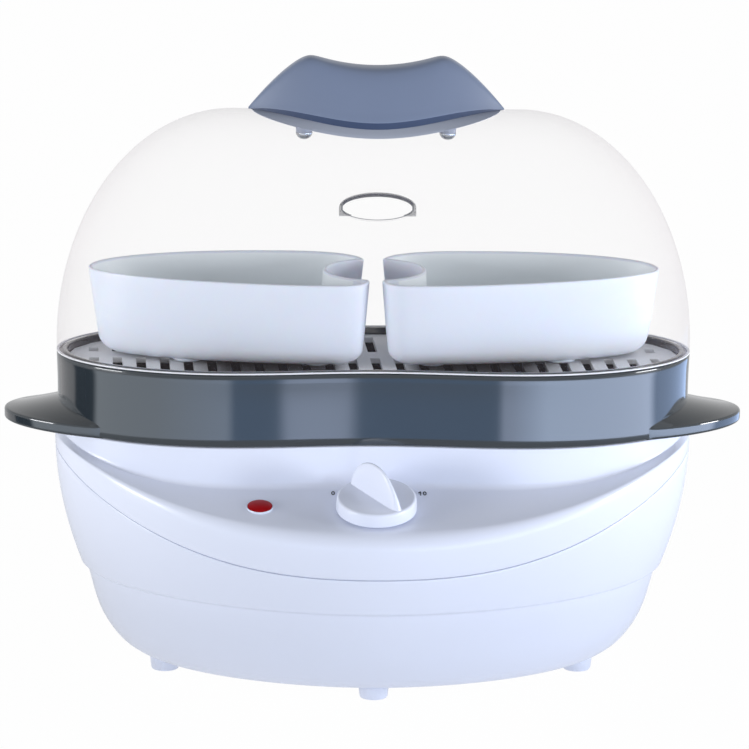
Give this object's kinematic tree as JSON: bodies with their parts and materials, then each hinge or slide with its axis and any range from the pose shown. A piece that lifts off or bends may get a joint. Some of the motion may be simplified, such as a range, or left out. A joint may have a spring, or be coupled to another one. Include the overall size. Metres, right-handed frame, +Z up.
{
  "type": "egg boiler",
  "caption": "Countertop egg boiler and steamer: oval white housing, grey steam ring with side handles, slotted rack, two bowls and a clear domed cover with a handle.",
  "frame": {"origin": "middle of the footprint, on the surface that the four feet stand on", "axes": "+X to the right seen from the front, +Y to the back, +Z up; the knob and lamp face -Y"},
  "size_m": [0.3644, 0.1962, 0.3078],
  "materials": {
    "white_shell": "satin white moulded plastic",
    "grey_gloss": "glossy blue-grey moulded plastic",
    "handle_blue": "satin blue-grey moulded plastic",
    "clear_cover": "clear moulded plastic, polished",
    "bowl_white": "thin milky white plastic",
    "rack_grey": "light grey moulded plastic",
    "basin_metal": "drawn, with a dark non-stick coating",
    "steel": "plated steel",
    "dark_rubber": "matte",
    "dark_plastic": "matte",
    "cream_plastic": "matte",
    "red_lens": "polished translucent red"
  },
  "bodies": {
    "base": {"upper_housing": "white_shell", "lower_tub": "white_shell", "foot_left": "white_shell", "foot_right": "white_shell", "foot_front": "white_shell", "foot_rear": "white_shell", "housing_screw_1": "steel", "housing_screw_2": "steel", "housing_screw_3": "steel", "housing_screw_4": "steel", "water_basin": "basin_metal", "basin_seal": "dark_rubber", "heating_element": "steel", "element_clamp_left": "steel", "element_clamp_right": "steel", "thermostat": "dark_plastic", "thermal_fuse": "cream_plastic", "cord_gland": "dark_rubber", "terminal_block": "cream_plastic", "rotary_switch": "dark_plastic", "switch_nut": "steel", "indicator_lens": "red_lens", "indicator_lamp": "cream_plastic"},
    "knob": {"knob_shaft": "steel", "control_knob": "white_shell"},
    "tray": {"steam_ring": "grey_gloss", "steam_rack": "rack_grey"},
    "left_bowl": {"bowl_left": "bowl_white"},
    "right_bowl": {"bowl_right": "bowl_white"},
    "cover": {"dome_cover": "clear_cover", "cover_handle": "handle_blue", "handle_washer_left": "steel", "handle_washer_right": "steel", "handle_screw_left": "steel", "handle_screw_right": "steel"}
  },
  "joints": [
    {"name": "knob_turn", "type": "hinge", "parent": "base", "child": "knob", "pos_m": [0, -0.07114, 0.0991], "axis": [0, -0.2301, 0.9732], "range_deg": [-60, 210]},
    {"name": "tray_lift", "type": "slide", "parent": "base", "child": "tray", "axis": [0, 0, 1], "range_m": [0, 0.12]},
    {"name": "left_bowl_lift", "type": "slide", "parent": "tray", "child": "left_bowl", "axis": [0, 0, 1], "range_m": [0, 0.006]},
    {"name": "right_bowl_lift", "type": "slide", "parent": "tray", "child": "right_bowl", "axis": [0, 0, 1], "range_m": [0, 0.006]},
    {"name": "cover_lift", "type": "slide", "parent": "tray", "child": "cover", "axis": [0, 0, 1], "range_m": [0, 0.13]}
  ]
}
